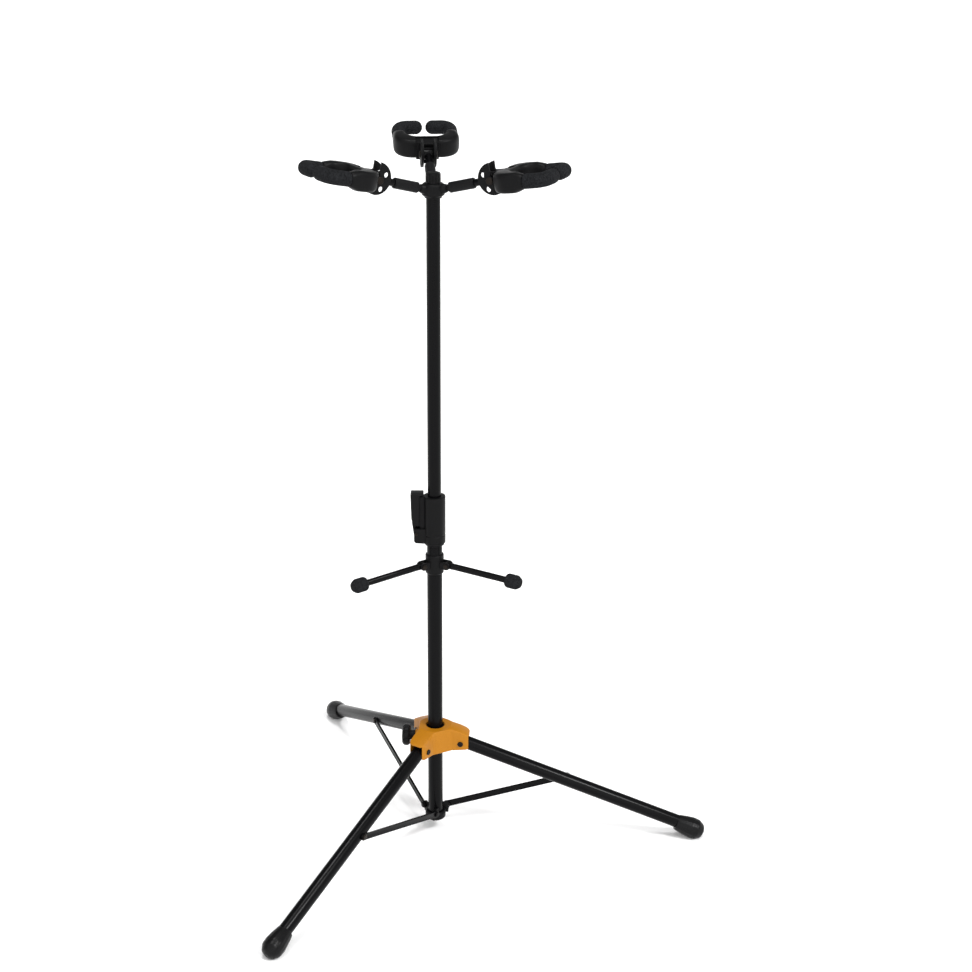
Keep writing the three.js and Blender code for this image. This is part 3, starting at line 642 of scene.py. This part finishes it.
YOKE_PIVOT = (-5.0, -2.3)
CHEEK = [*arc(0, 0, 22, 100.5, 270, 40), (9, -20, 0), (9, 9.5, 0.8), (-4, 9.5, 2)]
WINDOWS = [(-14, 6), (0.5, 4.5), (-9, -13.5), (4, -14.5)]
GUIDE = [(8, -16, 0), (24, -16), (24, 16), (8, 16, 0)]
WINDOW_R = 3.6
cheek_holes = [circle(x, z, WINDOW_R) for x, z in WINDOWS] + [circle(*YOKE_PIVOT, PIN_BORE)]
cheeks = [plate(soften(CHEEK, 0), *side, 0.6, cheek_holes) for side in ((6.9, 10.9), (-10.9, -6.9))]
web = cut(box(2.8, 9.2, -10.5, 10.5, -19.6, 9.2), *[across(WINDOW_R, 20, x, z) for x, z in WINDOWS])
guide = slab(soften(GUIDE, 1.5), -16, 9.5, 0.7)
yoke_block = join(web, guide, *cheeks)


# Stations along the cradle, from its back to its tips
BACK_X, BEND_X, STRAIGHT_X, TIP_X = 9, 22, 46, 58


def cradle_heights(x):
    """The underside and the top of the cradle at x."""
    if x < STRAIGHT_X:
        low = -15.5 - (x - BACK_X) / 37
    else:
        low = -16.5 + 4.1 * (x - STRAIGHT_X) / 12
    if x < BEND_X:
        high = 9 + 2.5 * (x - BACK_X) / 13
    elif x < STRAIGHT_X:
        high = 11.5 - (x - BEND_X) / 24
    else:
        high = 10.5 - 3.3 * (x - STRAIGHT_X) / 12
    return low, high


def horseshoe(sides=48, square_from=14, tip_scale=0.93):
    """The cradle: a U whose section is tall and squared at the back and round at the tines' ends."""
    outer = [(TIP_X - 23 * k / 8, 46.5) for k in range(8)] + arc(35, 20.5, 26, 90, 180, 16)
    inner = [(TIP_X - 11 * k / 8, 27.5) for k in range(8)] + arc(47, 11.5, 16, 90, 180, 16)
    half = list(zip(outer + [(BACK_X, 10), (BACK_X, 0)], inner + [(31, 6), (31, 0)]))
    whole = half + [((a[0], -a[1]), (b[0], -b[1])) for a, b in reversed(half[:-1])]
    rings = []
    for n, (a, b) in enumerate(whole):
        a, b = Vector(a), Vector(b)
        low, high = cradle_heights((a.x + b.x) / 2)
        from_tip = min(n, len(whole) - 1 - n)
        scale = 1 if from_tip else tip_scale
        square = 2 / (2.3 + 2.2 * min(from_tip / square_from, 1))
        ring = []
        for t in round_angles(sides):
            c, s = math.cos(t), math.sin(t)
            u = math.copysign(abs(c) ** square, c) * scale
            v = math.copysign(abs(s) ** square, s) * scale
            p = (a + b) / 2 + (a - b) / 2 * u
            ring.append((p.x, p.y, (low + high) / 2 + (high - low) / 2 * v))
        rings.append(ring)
    return lofted(rings)


FINGER_Z, FINGER_SIDE = -2.6, 37.0
finger_bores = [
    moved(rod(4.5, 32, 70, 0), Matrix.Translation((0, side * FINGER_SIDE, FINGER_Z)) @ OUTWARDS)
    for side in (-1, 1)
]
cradle_shape = cut(horseshoe(), box(0, 24.3, -16.3, 16.3, -30, 30), *finger_bores)

NECK_PIN = [(0, -12.7), (5, -12.7, 1), (5, -11.2, 0.1), (3, -11.2), (3, 11.2), (5, 11.2, 0.1), (5, 12.7, 1),
            (0, 12.7)]
SLEEVE = [(0, 0), (3.75, 0, 0.5), (3.75, 13), (6, 13, 0.6), (7.4, 14.4, 1), (7.4, 51.1, 1), (6.2, 52.5, 0.4),
          (5.35, 52.5, 0.2), (5.35, 36), (0, 36)]
ELBOW = arc(74, 24, 13, 90, 0, 14)


FOAM_R = 9.8


def gate(side):
    """The foam of one finger, seen from above: out along the tine, then across the opening."""
    path = [(58.3, 37), (62, 37), (68, 37), *ELBOW, (87, 20), (87, 16), (87, 12)]
    foam = swept([(x, side * y) for x, y in path], FOAM_R, 2)
    bore = moved(rod(FINGER_STEM, 50, 66, 0), Matrix.Translation((0, side * FINGER_SIDE, 0)) @ OUTWARDS)
    return cut(foam, bore)


arm_sleeve = turned(soften(SLEEVE, 0.2, closed=False), 64)
neck_pin = turned(soften(NECK_PIN, 0.1, closed=False), 48)
for i in SETS:
    azimuth, slope, reach = arm_frame(i)
    _, r, z = hinge(f"yoke_{i}_fold")
    piece(f"arm_sleeve_{i}", arm_sleeve, arm_root(i) @ OUTWARDS, f"yoke_arm_{i}", "grip")
    at = spot(azimuth, r, z, -slope)
    shaft = moved(rod(5, 36.4 - reach, -3, 0.5), OUTWARDS)
    knuckle = moved(rod(7, -6.6, 6.6, 0.8), SIDEWAYS)
    neck_shape = cut(join(knuckle, shaft), across(PIN_BORE, 8))
    piece(f"neck_shaft_{i}", neck_shape, at, f"yoke_neck_{i}", "tube")
    piece(f"neck_pin_{i}", neck_pin, at @ SIDEWAYS, f"yoke_pin_{i}", "steel")

    tilt = math.acos(min(JOINTS[f"cradle_{i}_drop"]["axis"][2], 1))
    at = spot(azimuth, r, z, -tilt) @ Matrix.Translation((-YOKE_PIVOT[0], 0, -YOKE_PIVOT[1]))
    piece(f"yoke_block_{i}", yoke_block, at, f"yoke_body_{i}", "plastic")
    piece(f"cradle_horseshoe_{i}", cradle_shape, at, f"yoke_cradle_{i}", "plastic", sharp=50)
    for word, side in (("left", 1), ("right", -1)):
        node = f"gate_finger_{word}_{i}"
        low = at @ Matrix.Translation((0, 0, FINGER_Z))
        foam = piece(f"finger_foam_{word}_{i}", gate(side), low, node, "foam", sharp=60)
        stem = low @ Matrix.Translation((0, side * FINGER_SIDE, 0)) @ OUTWARDS
        pin = rod(FINGER_STEM, 33, 65.5, 0.5)
        piece(f"finger_stem_{word}_{i}", pin, stem, node, "steel", hides=False)

# ---------------------------------------------------------------- floor, light and camera

FLOOR_SIZE = 160  # metres, so that its far edge lies at the horizon
bpy.ops.mesh.primitive_plane_add(size=FLOOR_SIZE, location=(0, 0, FLOOR / 1000))
floor = bpy.context.object
floor.name = "floor"
floor.data.materials.append(material("pale_floor", (0.96, 0.96, 0.96), 0.9, grain=3, mottle=0.0))

# The sky is as bright as the floor up to one height of view, and dims above it to the other.
SKY_BRIGHT, SKY_DIM = (0.15, 1), (0.5, 0.15)  # height of view, strength
world = bpy.data.worlds.new("studio")
world.use_nodes = True
sky, links = world.node_tree.nodes, world.node_tree.links
sky["Background"].inputs["Color"].default_value = (1, 1, 1, 1)
direction = sky.new("ShaderNodeTexCoord")
axes = sky.new("ShaderNodeSeparateXYZ")
links.new(direction.outputs["Generated"], axes.inputs["Vector"])
brightness = sky.new("ShaderNodeMapRange")
for end, (height, strength) in (("Min", SKY_BRIGHT), ("Max", SKY_DIM)):
    brightness.inputs[f"From {end}"].default_value = height
    brightness.inputs[f"To {end}"].default_value = strength
links.new(axes.outputs["Z"], brightness.inputs["Value"])
links.new(brightness.outputs["Result"], sky["Background"].inputs["Strength"])
bpy.context.scene.world = world


def sun(name, strength, spread, azimuth, height):
    """Even light from far away, from an azimuth and height in degrees."""
    data = bpy.data.lights.new(name, "SUN")
    data.energy = strength
    data.angle = math.radians(spread)
    lamp = bpy.data.objects.new(name, data)
    a, e = math.radians(azimuth), math.radians(height)
    towards = Vector((math.cos(a) * math.cos(e), math.sin(a) * math.cos(e), math.sin(e)))
    lamp.rotation_mode = "QUATERNION"
    lamp.rotation_quaternion = towards.to_track_quat("Z", "Y")
    bpy.context.scene.collection.objects.link(lamp)


sun("key", 2.1, 90, -105, 40)
sun("fill", 0.9, 100, -20, 35)
sun("overhead", 1.2, 12, 110, 85)
sun("side", 1.8, 12, -39, 50)

# Found by fitting a pinhole camera to the column, legs and braces.
VIEW_DOWN = math.radians(21.54)
ROLL = math.radians(0.32)
VIEWPOINT = (0.0652, -2.5004, 1.5331)
LENS, SENSOR, SHIFT = 69.57, 36, 0.00627
camera_data = bpy.data.cameras.new("camera")
camera_data.sensor_width = SENSOR
camera_data.lens = LENS
camera_data.shift_x = SHIFT
camera_data.clip_end = 200
camera = bpy.data.objects.new("camera", camera_data)
bpy.context.scene.collection.objects.link(camera)
aim = Matrix.Rotation(math.pi / 2 - VIEW_DOWN, 4, "X") @ Matrix.Rotation(ROLL, 4, "Z")
camera.matrix_world = Matrix.Translation(VIEWPOINT) @ aim
bpy.context.scene.camera = camera
bpy.context.scene.view_settings.view_transform = "Standard"
